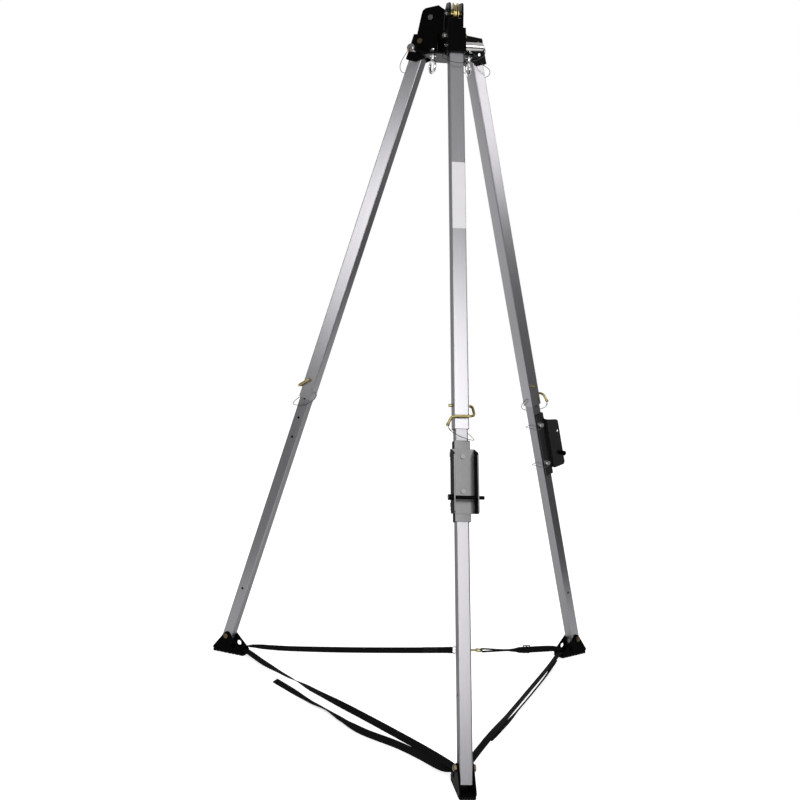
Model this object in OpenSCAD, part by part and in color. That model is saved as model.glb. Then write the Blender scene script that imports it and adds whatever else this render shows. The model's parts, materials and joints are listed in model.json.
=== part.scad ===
// Rescue tripod: three telescoping square-tube legs hinged to a steel head, two head pulleys,
// two winch saddles on the lower legs, tilting feet and a webbing strap that ties the feet.

/* [Legs] */
// Outside width of an upper leg tube
upper_w = 50.8; // [50:0.2:52]
// Wall of an upper leg tube
upper_wall = 3.8; // [3.4:0.1:4.2]
// Play between the tubes on each side
tube_play = 0.5; // [0.35:0.05:0.7]
// Wall of a lower leg tube
lower_wall = 3.2; // [2.6:0.1:4]
// Lean of a leg from upright
lean = 17.1; // [16.5:0.1:17.8]
// Pivot bolt to the centre line of the tripod
pivot_r = 104.4; // [102:0.2:108]
// Pivot bolt to foot bolt
leg_len = 2499; // [2460:1:2540]
// Pivot bolt to the open end of an upper tube
upper_len = 1446; // [1430:1:1460]
// Open end of an upper tube back to its pin
pin_back = 80.5; // [76:0.5:86]
// Distance between neighbouring holes of a lower tube
hole_pitch = 82.5; // [80:0.5:85]

/* [Pins and bolts] */
// Thickness of the locking pins
pin_d = 10; // [9:0.1:10.4]
// Thickness of the hinge bolts
bolt_d = 12.7; // [12:0.1:13.2]
// Play of a pin or bolt in its hole, each side
pin_play = 0.06; // [0.04:0.01:0.09]
// Length of a head lock handle
handle_len = 68; // [60:1:72]
// Thickness of the wire of a pin lanyard
wire_d = 2.5; // [2:0.1:3]

/* [Head] */
// Plate thickness of a leg bracket's sides
side_t = 7; // [6:0.5:8]
// Plate thickness of a leg bracket's web
web_t = 5; // [4:0.5:6]
// Thickness of the head plate
plate_t = 8; // [7:0.5:10]
// Radius of a pulley
sheave_r = 40; // [37:0.5:41]
// Width of a pulley's rim
sheave_w = 18; // [16:0.5:20]
// Inner radius of an eye bolt
eye_r = 18.5; // [17:0.5:20]
// Rod thickness of an eye bolt
eye_d = 10; // [9:0.5:11]

/* [Winch saddles] */
// Plate thickness of saddle and cradle
saddle_t = 5; // [4:0.25:6]
// Half the inside width of a cradle
cradle_half = 37; // [35:0.5:40]
// How far a cradle's flanges stand out from the leg's axis
cradle_out = 87; // [84:0.5:90]
// Diameter of a cradle's mounting holes
cradle_hole = 9.6; // [8.5:0.1:10.5]

/* [Feet and strap] */
// Height of a foot bolt above the ground
bolt_h = 72; // [70:0.5:76]
// Thickness of a rubber sole
pad_t = 8; // [6:0.5:9]
// Plate thickness of a foot
foot_t = 5; // [4:0.25:6]
// Width of the webbing
strap_w = 25; // [22:0.5:27]
// Thickness of the webbing
strap_t = 2; // [1.6:0.1:2.4]

/* [Output] */
// Sub-part to draw

/* [Hidden] */
$fn = 48;
lower_w = upper_w - 2 * upper_wall - 2 * tube_play;
corner_r = 4;
leg_names = ["front", "right", "left"];
leg_angle = [-90, 30, 150];
foot_r = pivot_r + leg_len * sin(lean);
pivot_h = bolt_h + leg_len * cos(lean);
pin_s = upper_len - pin_back;
hole_d = pin_d + 2 * pin_play;
bore_d = bolt_d + 2 * pin_play;
// Holes of a lower tube, counted in pitches from the one that the leg pin holds
hole_last = [4, 4, 3];
foot_lap = 46;
lower_end = leg_len + foot_lap;
lower_top = pin_s - 7 * hole_pitch;
// Bracket sides stand just clear of the upper tube
side_in = upper_w / 2 + 0.8;
side_out = side_in + side_t;
web_in = upper_w / 2 + 4;
web_out = web_in + web_t;
web_top = -18;
web_foot = 78;
lock_s = 38;
lock_swing = 16;
head_top = lp(web_out, web_top)[1];
plate_top = -53;
plate_flat = 76;
plate_cut = 105;
bracket_in = 45;
// Pulley housing, in the leg's own directions
cheek_t = 6;
cheek_out = 25;
cheek_in = -50;
channel_s = -24;
axle_n = -8;
axle_s = -94;
axle_d = 12;
eye_angle = [-150, -30];
eye_ring = 78;
// The left eye is screwed in a little further round than the right one
eye_turn = [-17, 0];
eye_drop = plate_top - plate_t - eye_r - eye_d - 14;
// Saddles sit on the second and fourth holes below the leg pin
saddle_pin_s = [pin_s + 2 * hole_pitch, pin_s + 4 * hole_pitch];
saddle_in = lower_w / 2 + 0.3;
saddle_out = saddle_in + saddle_t;
saddle_top = saddle_pin_s[0] - 44.5;
saddle_foot = saddle_pin_s[1] + 54.5;
saddle_back = -14;
cradle_web = saddle_out + saddle_t - 1;
cradle_top = saddle_pin_s[0] - 15.5;
cradle_foot = saddle_pin_s[1] + 29.5;
cradle_hole_n = cradle_out - 11;
cradle_hole_s = cradle_top + 66;
bar_s = cradle_foot - 48;
bar_d = 12;
// Foot, measured from its bolt
ear_in = lower_w / 2 + 1;
ear_out = ear_in + foot_t;
sole_z = pad_t - bolt_h;
pad_front = 62;
pad_back = -82;
pad_half = 27;
pad_round = 8;
rod_n = -66;
rod_z = -46;
rod_d = 8;
back_reach = (foot_r + pad_front - pad_round) / 2 + (pad_half - pad_round) * cos(30) + pad_round;
// The part's centre in plan lies on the origin
y_shift = (foot_r + pad_front - back_reach) / 2;
strap_z = bolt_h + rod_z;
rod_r = foot_r + rod_n;
loop_r = rod_d / 2 + 0.4 + strap_t / 2;
ring_x = 211;
hook_x = 330;
slider_x = 520;
back_y = rod_r / 2 - 12;

// A point n outward and s down a leg, seen upright from the pivot bolt
function lp(n, s) = [n * cos(lean) + s * sin(lean), n * sin(lean) - s * cos(lean)];
function unit(v) = v / norm(v);
function turn(p, a) = [p[0] * cos(a) - p[1] * sin(a), p[0] * sin(a) + p[1] * cos(a), p[2]];
// A place r outward, t sideways and z up at leg i, and a direction there
function plan_at(i, r, t, z) = turn([r, t, z], leg_angle[i]) + [0, y_shift, 0];
function plan_dir(i, v) = turn(v, leg_angle[i]);
function way(p, k) = unit(p[min(k + 1, len(p) - 1)] - p[max(k - 1, 0)]);

module on_pivot(i) {
  translate([0, y_shift, 0]) rotate([0, 0, leg_angle[i]]) translate([pivot_r, 0, pivot_h]) children();
}

// Along a leg: +X outward, +Y sideways, -Z down the leg from its pivot bolt
module on_leg(i) {
  on_pivot(i) rotate([0, -lean, 0]) children();
}

module on_foot(i) {
  translate([0, y_shift, 0]) rotate([0, 0, leg_angle[i]]) translate([foot_r, 0, bolt_h]) children();
}

// A flat outline in X and Z given thickness from y0 to y1
module sheet(y0, y1) {
  translate([0, y1, 0]) rotate([90, 0, 0]) linear_extrude(y1 - y0) children();
}

module rod_y(d, y0, y1) {
  translate([0, y0, 0]) rotate([-90, 0, 0]) cylinder(d = d, h = y1 - y0);
}

module hex_y(w, y0, y1) {
  translate([0, y0, 0]) rotate([-90, 0, 0]) cylinder(d = w / cos(30), h = y1 - y0, $fn = 6);
}

module rod(p, q, d) {
  v = q - p;
  translate(p) rotate([0, acos(v[2] / norm(v)), atan2(v[1], v[0])]) cylinder(d = d, h = norm(v));
}

module ball(p, d) {
  translate(p) sphere(d = d);
}

module rounded(w, r) {
  square([w, w - 2 * r], center = true);
  square([w - 2 * r, w], center = true);
  for (x = [-1, 1])
    for (y = [-1, 1])
      translate([x, y] * (w / 2 - r)) circle(r);
}

module tube(w, wall, s0, s1) {
  translate([0, 0, -s1]) linear_extrude(s1 - s0) difference() {
    rounded(w, corner_r);
    square(w - 2 * wall, center = true);
  }
}

// A round cord along points, eight-sided
module wire(p, d) {
  ref = [0.36, 0.48, 0.8];
  side = [for (k = [0 : len(p) - 1]) unit(cross(way(p, k), ref))];
  over = [for (k = [0 : len(p) - 1]) cross(way(p, k), side[k])];
  rings = [for (k = [0 : len(p) - 1]) for (a = [0 : 45 : 315]) p[k] + d / 2 * (cos(a) * side[k] + sin(a) * over[k])];
  walls = [for (k = [0 : len(p) - 2]) for (j = [0 : 7])
    [8 * k + j, 8 * k + (j + 1) % 8, 8 * k + 8 + (j + 1) % 8, 8 * k + 8 + j]];
  near_cap = [for (j = [7 : -1 : 0]) j];
  far_cap = [for (j = [0 : 7]) 8 * (len(p) - 1) + j];
  polyhedron(rings, concat([near_cap], walls, [far_cap]));
}

// Webbing along points, each with the direction of its width
module webbing(p, wide) {
  rings = [for (k = [0 : len(p) - 1])
    let (w = unit(wide[k]) * strap_w / 2, n = unit(cross(way(p, k), wide[k])) * strap_t / 2)
    for (c = [w + n, n - w, -w - n, w - n]) p[k] + c];
  // Both broad faces fold along the same diagonal, so that a twist keeps its thickness
  walls = [for (k = [0 : len(p) - 2]) for (j = [0 : 3])
    let (a = 4 * k + j, b = 4 * k + (j + 1) % 4)
    each j < 2 ? [[a, b, a + 4], [b, b + 4, a + 4]] : [[a, b, b + 4], [a, b + 4, a + 4]]];
  last = 4 * (len(p) - 1);
  polyhedron(rings, concat([[3, 2, 1, 0]], walls, [[last, last + 1, last + 2, last + 3]]));
}

module head_plate() {
  flat_half = (plate_cut - plate_flat / 2) / cos(30);
  color("black") translate([0, y_shift, pivot_h + plate_top - plate_t]) difference() {
    linear_extrude(plate_t) polygon([for (a = leg_angle) for (k = [-1, 1])
      [plate_flat * cos(a) - k * flat_half * sin(a), plate_flat * sin(a) + k * flat_half * cos(a)]]);
    for (a = eye_angle)
      rotate([0, 0, a]) translate([eye_ring, 0, -1]) cylinder(d = bore_d, h = plate_t + 2);
  }
}

module bracket(i) {
  color("black") on_pivot(i) difference() {
    union() {
      for (y = [-side_out, side_in])
        sheet(y, y + side_t) polygon([lp(web_out, web_top), lp(web_out, web_foot), lp(-6, web_foot),
          [plate_flat - pivot_r, plate_top - 7], [plate_flat - pivot_r, plate_top],
          [bracket_in - pivot_r, plate_top], [bracket_in - pivot_r, head_top]]);
      rotate([0, -lean, 0]) translate([web_in, -side_out, -web_foot]) cube([web_t, 2 * side_out, web_foot - web_top]);
    }
    rod_y(bore_d, -side_out - 1, side_out + 1);
    rotate([0, -lean, 0]) translate([0, 0, -lock_s]) rod_y(hole_d, -side_out - 1, side_out + 1);
  }
}

module cheek_outline() {
  difference() {
    polygon([[cheek_out, -channel_s], [cheek_out + 8, 97], [cheek_out + 8, 110], [cheek_out, 122], [-22, 145],
      [cheek_in, 135], [cheek_in, -channel_s]]);
    translate([axle_n, -axle_s]) circle(d = axle_d + 2 * pin_play);
  }
}

module pulley_housing(i) {
  color("black") on_leg(i) {
    for (y = [-side_in, side_in - cheek_t])
      sheet(y, y + cheek_t) cheek_outline();
    translate([cheek_in, -side_in, -channel_s]) cube([cheek_out - cheek_in, 2 * side_in, cheek_t]);
    translate([cheek_out - cheek_t, -side_in, -channel_s]) cube([cheek_t, 2 * side_in, 34]);
  }
}

module pulley_axles() {
  for (i = [0, 2])
    color("silver") on_leg(i) translate([axle_n, 0, -axle_s]) {
      rod_y(axle_d, -side_in - 10, side_in);
      hex_y(19, side_in, side_in + 7);
    }
}

module sheave(i) {
  hub = side_in - cheek_t - 0.4;
  rim = sheave_w / 2;
  color("gold") on_leg(i) translate([axle_n, 0, -axle_s]) rotate([90, 0, 0]) difference() {
    union() {
      rotate_extrude() polygon([[0, -rim], [sheave_r, -rim], [sheave_r, 2 - rim], [sheave_r - 7, -2.5],
        [sheave_r - 7, 2.5], [sheave_r, rim - 2], [sheave_r, rim], [0, rim]]);
      cylinder(d = 24, h = 2 * hub, center = true);
    }
    cylinder(d = axle_d + 2 * pin_play, h = 2 * hub + 2, center = true);
  }
}

module eye_bolts() {
  mid_r = eye_r + eye_d / 2;
  for (k = [0, 1])
    color("silver") translate([0, y_shift, pivot_h]) rotate([0, 0, eye_angle[k]]) translate([eye_ring, 0, 0]) {
      translate([0, 0, eye_drop]) rotate([0, 0, eye_turn[k]]) rotate([0, 90, 0]) rotate_extrude() {
        translate([mid_r, 0]) circle(d = eye_d);
        translate([eye_r, -3]) square([eye_d / 2, 6]);
      }
      translate([0, 0, eye_drop + mid_r]) cylinder(d = bolt_d, h = plate_top + 16 - eye_drop - mid_r);
      translate([0, 0, plate_top - plate_t - 4]) cylinder(d = 24, h = 4);
    }
}

module pivot_bolts() {
  for (i = [0 : 2])
    color("gold") on_leg(i) {
      rod_y(bolt_d, -side_out - 15, side_out);
      hex_y(19, side_out, side_out + 8);
    }
}

module nut(d, w, h) {
  difference() {
    cylinder(d = w / cos(30), h = h, $fn = 6);
    translate([0, 0, -1]) cylinder(d = d + 0.1, h = h + 2);
  }
}

module head_nuts() {
  color("gold") for (i = [0 : 2])
    on_leg(i) translate([0, -side_out, 0]) rotate([90, 0, 0]) nut(bolt_d, 19, 10);
  color("silver") for (i = [0, 2])
    on_leg(i) translate([axle_n, -side_in, -axle_s]) rotate([90, 0, 0]) nut(axle_d, 19, 7);
  color("silver") for (a = eye_angle)
    translate([0, y_shift, pivot_h + plate_top]) rotate([0, 0, a]) translate([eye_ring, 0, 0]) nut(bolt_d, 22, 11);
}

module lock_pin(i) {
  color("silver") on_leg(i) translate([0, 0, -lock_s]) {
    rod_y(pin_d, -side_out - 6, side_out + 2);
    rod_y(30, side_out, side_out + handle_len);
    rod_y(18, side_out + handle_len, side_out + handle_len + 4);
  }
}

module upper_tube(i) {
  color("gainsboro") on_leg(i) difference() {
    tube(upper_w, upper_wall, -15, upper_len);
    rod_y(bore_d, -upper_w, upper_w);
    // The lock pin stays on the head, so the leg has a slot for it to swing along
    for (a = [0, lock_swing])
      rotate([0, -a, 0]) translate([0, 0, -lock_s]) rod_y(pin_d + 1.2, -upper_w, upper_w);
    rotate([0, -lock_swing / 2, 0]) translate([0, 0, -lock_s])
      cube([2 * lock_s * sin(lock_swing / 2), 2 * upper_w, pin_d + 1.2], center = true);
    translate([0, 0, -pin_s]) rod_y(hole_d, -upper_w, upper_w);
  }
}

module lower_tube(i) {
  color("gray") on_leg(i) difference() {
    tube(lower_w, lower_wall, lower_top, lower_end);
    for (k = [-6 : hole_last[i]])
      translate([0, 0, -pin_s - k * hole_pitch]) rod_y(hole_d, -upper_w, upper_w);
    translate([0, 0, -leg_len + 214]) rod_y(hole_d, -upper_w, upper_w);
    translate([0, 0, -leg_len]) rod_y(bore_d, -upper_w, upper_w);
  }
}

module leg_pin(i) {
  tip = [0, -upper_w / 2 - 14, 0];
  neck = [0, upper_w / 2 + 16, 0];
  knee = [upper_w / 2 + 10, neck[1], -40];
  wrist = [knee[0], -upper_w / 2 - 11, -42];
  grip = [knee[0] + 1, wrist[1] - 13, -70];
  color("gold") on_leg(i) translate([0, 0, -pin_s]) {
    rod_y(pin_d, tip[1], neck[1]);
    rod(neck, knee, pin_d);
    rod(knee, wrist, pin_d);
    rod(wrist, grip, pin_d);
    for (p = [neck, knee, wrist])
      ball(p, pin_d + 0.6);
    ball(grip, pin_d + 2);
  }
}

// From the pin's grip round the leg to a screw on the upper tube's inner face
module pin_lanyard(i) {
  face = upper_w / 2 + wire_d / 2 + 0.3;
  color("dimgray") on_leg(i) translate([0, 0, -pin_s])
    wire([[36, -49, -76.6], [40, -42, -90], [47, -20, -106], [44, 14, -118], [24, 40, -118],
      [-12, 42, -104], [-36, 26, -80], [-38, 6, -58], [-face, 0, -48]], wire_d);
}

// From the lock handle, round the outside of the leg below the bracket, to the bracket's other side
module lock_lanyard(i) {
  out = side_out + wire_d / 2 + 0.3;
  end = side_out + handle_len + 4 + wire_d / 2 + 0.3;
  color("dimgray") on_leg(i)
    wire([[0, end, -lock_s], [3, end + 3, -lock_s - 14], [14, end - 4, -78], [30, 76, -104], [39, 40, -121],
      [41, 0, -127], [38, -36, -118], [24, -53, -99], [9, -46, -81], [4, -out, -68]], wire_d);
}

module foot(i) {
  color("black") on_foot(i) {
    difference() {
      union() {
        for (y = [-ear_out, ear_in])
          sheet(y, y + foot_t) {
            circle(15);
            polygon([[10.6, 10.6], [pad_front, -54], [pad_front - 6, sole_z], [pad_back + 5, sole_z],
              [pad_back + 2, -56], [-10.6, 10.6]]);
          }
        translate([pad_back + 5, -ear_out, sole_z]) cube([pad_front - pad_back - 11, 2 * ear_out, foot_t + 1]);
      }
      rod_y(bore_d, -ear_out - 1, ear_out + 1);
      translate([-34, 0, -37.5]) rod_y(20, -ear_out - 1, ear_out + 1);
    }
    translate([rod_n, 0, rod_z]) rod_y(rod_d, -ear_in - 1, ear_in + 1);
  }
}

module foot_bolt(i) {
  color("gold") on_foot(i) {
    rod_y(bolt_d, -ear_out - 11, ear_out);
    hex_y(19, ear_out, ear_out + 7);
    translate([0, -ear_out, 0]) rotate([90, 0, 0]) nut(bolt_d, 19, 9);
  }
}

module foot_pad(i) {
  color("black") on_foot(i) translate([0, 0, -bolt_h]) difference() {
    linear_extrude(pad_t) {
      translate([pad_back, pad_round - pad_half]) square([pad_front - pad_back, 2 * (pad_half - pad_round)]);
      translate([pad_back + pad_round, -pad_half]) square([pad_front - pad_back - 2 * pad_round, 2 * pad_half]);
      for (x = [pad_back + pad_round, pad_front - pad_round])
        for (y = [-1, 1])
          translate([x, y * (pad_half - pad_round)]) circle(pad_round);
    }
    for (x = [pad_back + 18 : 18 : pad_front - 12])
      translate([x, -pad_half - 1, -1]) cube([5, 2 * pad_half + 2, 3]);
  }
}

module saddle(i) {
  color("black") on_leg(i) difference() {
    union() {
      translate([saddle_in, -saddle_out, -saddle_foot]) cube([saddle_t, 2 * saddle_out, saddle_foot - saddle_top]);
      for (y = [-saddle_out, saddle_in])
        translate([saddle_back, y, -saddle_foot])
          cube([saddle_in + saddle_t - saddle_back, saddle_t, saddle_foot - saddle_top]);
    }
    for (s = saddle_pin_s)
      translate([0, 0, -s]) rod_y(hole_d, -saddle_out - 1, saddle_out + 1);
    for (s = [cradle_top + 25, cradle_top + 138])
      translate([saddle_in - 1, 0, -s]) rotate([0, 90, 0]) cylinder(d = 8.1, h = saddle_t + 2);
  }
}

module cradle(i) {
  half = cradle_half + saddle_t - 1;
  color("black") on_leg(i) difference() {
    union() {
      translate([saddle_out, -half, -cradle_foot]) cube([cradle_web - saddle_out, 2 * half, cradle_foot - cradle_top]);
      for (y = [-half, cradle_half])
        sheet(y, y + half - cradle_half) polygon([[saddle_out, -cradle_top], [cradle_out - 8, -cradle_top - 17],
          [cradle_out, -cradle_top - 25], [cradle_out, 4 - cradle_foot], [cradle_out - 8, -cradle_foot - 4],
          [saddle_out, -cradle_foot]]);
    }
    translate([cradle_hole_n, 0, -cradle_hole_s]) rod_y(cradle_hole, -half - 1, half + 1);
    translate([cradle_hole_n, 0, -bar_s]) rod_y(bar_d + 2 * pin_play, -half - 1, half + 1);
    for (s = [cradle_top + 25, cradle_top + 138])
      translate([saddle_out - 1, 0, -s]) rotate([0, 90, 0]) cylinder(d = 8.1, h = saddle_t + 2);
  }
}

module cradle_bolts(i) {
  color("silver") on_leg(i) for (s = [cradle_top + 25, cradle_top + 138]) {
    translate([saddle_in + 0.2, 0, -s]) rotate([0, 90, 0]) cylinder(d = 8, h = cradle_web - saddle_in);
    translate([cradle_web, 0, -s]) rotate([0, 90, 0]) cylinder(d = 15, h = 6);
  }
}

module saddle_pin(i, k) {
  color("silver") on_leg(i) translate([0, 0, -saddle_pin_s[k]]) {
    rod_y(pin_d, -saddle_out - 2, saddle_out + 10);
    rod_y(17, -saddle_out - 12, -saddle_out);
  }
}

// Spring wires from each pin's head round the inner side of the leg to its tip
module pin_keepers(i) {
  tip = saddle_out + 5;
  low = pin_d / 2 + wire_d / 2 + 0.3;
  head = 8.5 + wire_d / 2 + 0.3;
  color("silver") on_leg(i) for (s = saddle_pin_s)
    translate([0, 0, -s]) wire([[0, -saddle_out - 6, -head], [-16, -saddle_out - 7, -head - 3], [-32, -saddle_out, -8],
      [-36, 0, -5], [-32, saddle_out, -6], [-12, tip + 1, -low - 2], [4, tip, -low]], wire_d);
}

module keeper_bar(i) {
  half = cradle_half + saddle_t - 1;
  color("silver") on_leg(i) translate([cradle_hole_n, 0, -bar_s]) {
    rod_y(bar_d, -half - 6, half + 18);
    rod_y(19, -half - 18, -half);
  }
}

// Webbing round the cross rod of foot i, entering on side k at the top and leaving on the other below
function loop_way(i, k) = [
  plan_at(i, rod_r - 40 * cos(30), 20 * k, strap_z + 6), plan_at(i, rod_r - 8, 5 * k, strap_z + loop_r),
  plan_at(i, rod_r, 1.5 * k, strap_z + loop_r), plan_at(i, rod_r + loop_r * 0.7, 1 * k, strap_z + loop_r * 0.7),
  plan_at(i, rod_r + loop_r, 0, strap_z), plan_at(i, rod_r + loop_r * 0.7, -1 * k, strap_z - loop_r * 0.7),
  plan_at(i, rod_r, -1.5 * k, strap_z - loop_r), plan_at(i, rod_r - 8, -5 * k, strap_z - loop_r),
  plan_at(i, rod_r - 40 * cos(30), -20 * k, strap_z - 6)];
function loop_wide(i, k) = [for (q = [28, 15, 0, 0, 0, 0, 0, -15, -28]) plan_dir(i, [sin(q * k), cos(q * k), 0])];

// Back run to the left foot, round its rod and on to the front foot
module strap_left() {
  p = concat([[ring_x - 17.4, back_y + y_shift, strap_z], [60, back_y + y_shift, strap_z - 2],
      [-240, back_y + y_shift, strap_z - 3], [-500, back_y + 4 + y_shift, strap_z],
      [-585, back_y + 8 + y_shift, strap_z + 4]], loop_way(2, -1),
    [[-590, 226 + y_shift, strap_z - 6], [-512, 86 + y_shift, strap_z - 4], [-410, -84 + y_shift, strap_z - 1],
      [-285, -284 + y_shift, strap_z + 3], [-130, -546 + y_shift, strap_z + 8],
      plan_at(0, rod_r - 42, -24, strap_z + 9), plan_at(0, rod_r - 8, -5, strap_z + loop_r),
      plan_at(0, rod_r, -1, strap_z + loop_r)]);
  wide = concat([[0, 0, 1], [0, 0, 1], [0, -0.1, 1], [0, -0.3, 1], [0, -0.4, 0.9]], loop_wide(2, -1),
    [[-0.8, -0.47, -0.3], [-0.84, -0.48, 0.2], [-0.26, -0.15, 0.95], [0.26, 0.15, 0.95], [0.43, 0.25, 0.86],
      [0.8, 0.4, 0.4], [1, 0.1, 0], [1, 0, 0]]);
  color("black") webbing(p, wide);
}

// Hook to the right foot, round its rod, and a doubled run on to the front foot
module strap_right() {
  flat = [0, 1, -0.3];
  edge = [-0.59, 0.37, -0.71];
  tilt = [-0.79, 0.48, -0.37];
  level = [-0.84, 0.51, 0.1];
  p = concat([[hook_x, back_y + y_shift, strap_z], [slider_x - 90, back_y + 3 + y_shift, strap_z],
      [slider_x - 55, back_y + 4 + y_shift, strap_z], [slider_x - 16, back_y + 6 + y_shift, strap_z + 1],
      [slider_x + 68, back_y + 9 + y_shift, strap_z + 5]], loop_way(1, 1),
    [[570, 206 + y_shift, strap_z - 3], [430, -38 + y_shift, strap_z], [290, -282 + y_shift, strap_z + 4],
      [140, -540 + y_shift, strap_z + 8], plan_at(0, rod_r - 42, 24, strap_z - 4),
      plan_at(0, rod_r - 8, 5, strap_z - loop_r), plan_at(0, rod_r, 1, strap_z - loop_r)]);
  wide = concat([flat, flat, [0, 0.9, 0.2], [0, 0.3, 1], [0, 0.4, 0.9]], loop_wide(1, 1),
    [tilt, tilt, tilt, level, [-1, 0.2, 0.1], [-1, 0.1, 0], [-1, 0, 0]]);
  color("black") webbing(p, wide);
  color("black") webbing([[610.2, 277.5 + y_shift, strap_z - 7], [545, 130 + y_shift, strap_z - 1],
      [432, -70 + y_shift, strap_z - 1], [326, -250 + y_shift, strap_z], [222, -425 + y_shift, strap_z + 3],
      [147, -535 + y_shift, strap_z + 5]], [[-0.82, 0.5, -0.19], edge, edge, edge, tilt, level]);
}

// Loose end, from the front foot along the floor
module strap_tail() {
  color("black") webbing([plan_at(0, rod_r - 6, -3, strap_z), plan_at(0, rod_r - 21, -16, strap_z - 0.5),
      [-46, -728 + y_shift, 19.5], [-104, -639 + y_shift, 20], [-161, -553 + y_shift, 20],
      [-270, -425 + y_shift, 15], [-325, -318 + y_shift, 7], [-372, -222 + y_shift, 3.5],
      [-424, -142 + y_shift, 3], [-500, -12 + y_shift, 3], [-550, 73 + y_shift, 3]],
    [[1, 0.05, 0], [0.9, 0.3, 0.2], [0.75, 0.43, 0.5], [0.5, 0.3, 0.8], [0.5, 0.3, 0.8], [0.55, 0.32, 0.75],
      [0.8, 0.46, 0.35], [0.86, 0.5, 0.05], [0.86, 0.5, 0], [0.86, 0.5, 0], [0.86, 0.5, 0]]);
}

module strap_ring() {
  color("silver") translate([ring_x, back_y + y_shift, strap_z]) rotate([90, 0, 0]) rotate_extrude()
    translate([14, 0]) circle(d = 6);
}

// A snap hook whose bend passes through the ring
module strap_hook() {
  bend_x = ring_x + 16;
  eye_x = hook_x - 18;
  color("gold") translate([0, back_y + y_shift, strap_z]) {
    translate([bend_x, 0, 0]) rotate([0, 0, 60]) rotate_extrude(angle = 240) translate([11, 0]) circle(d = 7);
    rod([bend_x + 5.5, 9.53, 0], [bend_x + 26, 0, 0], 6);
    rod([bend_x + 5.5, -9.53, 0], [bend_x + 26, 0, 0], 4);
    ball([bend_x + 5.5, 9.53, 0], 8);
    ball([bend_x + 5.5, -9.53, 0], 8);
    ball([bend_x + 26, 0, 0], 13);
    rod([bend_x + 26, 0, 0], [eye_x - 15, 0, 0], 9);
    translate([eye_x, 0, 0]) rotate_extrude() translate([14, 0]) circle(d = 7);
  }
}

module strap_slider() {
  color("silver") translate([slider_x, back_y + 12 + y_shift, strap_z + 2]) sheet(0, 3) difference() {
    square([30, strap_w + 10], center = true);
    for (x = [-7, 7])
      translate([x, 0]) square([7, strap_w + 2], center = true);
  }
}

head_plate();
for (i = [0 : 2]) {
  bracket(i);
  lock_pin(i);
  lock_lanyard(i);
  upper_tube(i);
  lower_tube(i);
  leg_pin(i);
  pin_lanyard(i);
  foot(i);
  foot_bolt(i);
  foot_pad(i);
}
for (i = [0, 2]) {
  pulley_housing(i);
  sheave(i);
}
for (i = [0, 1]) {
  saddle(i);
  cradle(i);
  cradle_bolts(i);
  saddle_pin(i, 0);
  saddle_pin(i, 1);
  pin_keepers(i);
  keeper_bar(i);
}
pulley_axles();
eye_bolts();
pivot_bolts();
head_nuts();
strap_left();
strap_right();
strap_tail();
strap_ring();
strap_hook();
strap_slider();
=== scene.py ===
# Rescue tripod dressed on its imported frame: camera, light, then the pieces from the head down to the strap.
# Lengths are in millimetres on the legs and the plan, and become metres where a point is made.
# Wires and webbing are rebuilt smooth on the routes of the solids; the other solids keep their shape.
import json
import math
import bpy
from mathutils import Matrix, Vector


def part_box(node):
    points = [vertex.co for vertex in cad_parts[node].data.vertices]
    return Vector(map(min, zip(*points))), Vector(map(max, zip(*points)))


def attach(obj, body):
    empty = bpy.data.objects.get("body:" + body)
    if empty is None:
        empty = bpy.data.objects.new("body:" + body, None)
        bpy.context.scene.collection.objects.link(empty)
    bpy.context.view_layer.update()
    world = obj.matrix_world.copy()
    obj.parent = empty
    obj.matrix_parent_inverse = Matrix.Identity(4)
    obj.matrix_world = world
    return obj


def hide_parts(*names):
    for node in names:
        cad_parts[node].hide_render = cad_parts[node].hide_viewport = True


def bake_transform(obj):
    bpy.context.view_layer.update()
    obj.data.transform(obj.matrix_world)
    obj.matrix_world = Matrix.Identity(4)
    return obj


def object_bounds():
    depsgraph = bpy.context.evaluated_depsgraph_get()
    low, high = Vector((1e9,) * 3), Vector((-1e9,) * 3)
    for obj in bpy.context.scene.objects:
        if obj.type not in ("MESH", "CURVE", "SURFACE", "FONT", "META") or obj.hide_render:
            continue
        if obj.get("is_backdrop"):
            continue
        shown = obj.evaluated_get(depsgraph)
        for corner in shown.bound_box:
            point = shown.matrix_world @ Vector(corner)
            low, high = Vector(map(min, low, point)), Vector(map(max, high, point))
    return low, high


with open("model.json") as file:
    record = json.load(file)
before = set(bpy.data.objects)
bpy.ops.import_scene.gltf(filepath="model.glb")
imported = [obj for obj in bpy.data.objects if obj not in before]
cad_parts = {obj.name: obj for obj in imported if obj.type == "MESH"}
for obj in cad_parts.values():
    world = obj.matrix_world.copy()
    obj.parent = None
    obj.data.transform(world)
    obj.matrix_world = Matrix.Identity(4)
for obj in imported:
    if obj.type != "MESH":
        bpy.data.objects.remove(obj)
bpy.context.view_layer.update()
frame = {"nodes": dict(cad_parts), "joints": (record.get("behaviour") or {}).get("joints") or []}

# Camera: it stands in front of the tripod, a little to the left and about three fifths up.
# Its place, turn and lens are those that the photograph was fitted with.
scene = bpy.context.scene
CAMERA_AT = Vector((-0.77293, -3.99207, 1.5937))
YAW, PITCH, ROLL = 0.1059, -0.041403, 0.043686
SENSOR, LENS = 36, 50.842
SHIFT_X, SHIFT_Y = 0.06129, -0.10439
forward = Vector((math.sin(YAW) * math.cos(PITCH), math.cos(YAW) * math.cos(PITCH), math.sin(PITCH)))
level = Vector((math.cos(YAW), -math.sin(YAW), 0))
rise = level.cross(forward)
side = level * math.cos(ROLL) + rise * math.sin(ROLL)
upward = rise * math.cos(ROLL) - level * math.sin(ROLL)
camera = bpy.data.objects.new("camera", bpy.data.cameras.new("camera"))
camera.data.sensor_width = SENSOR
camera.data.lens = LENS
camera.data.shift_x = SHIFT_X
camera.data.shift_y = SHIFT_Y
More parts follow.
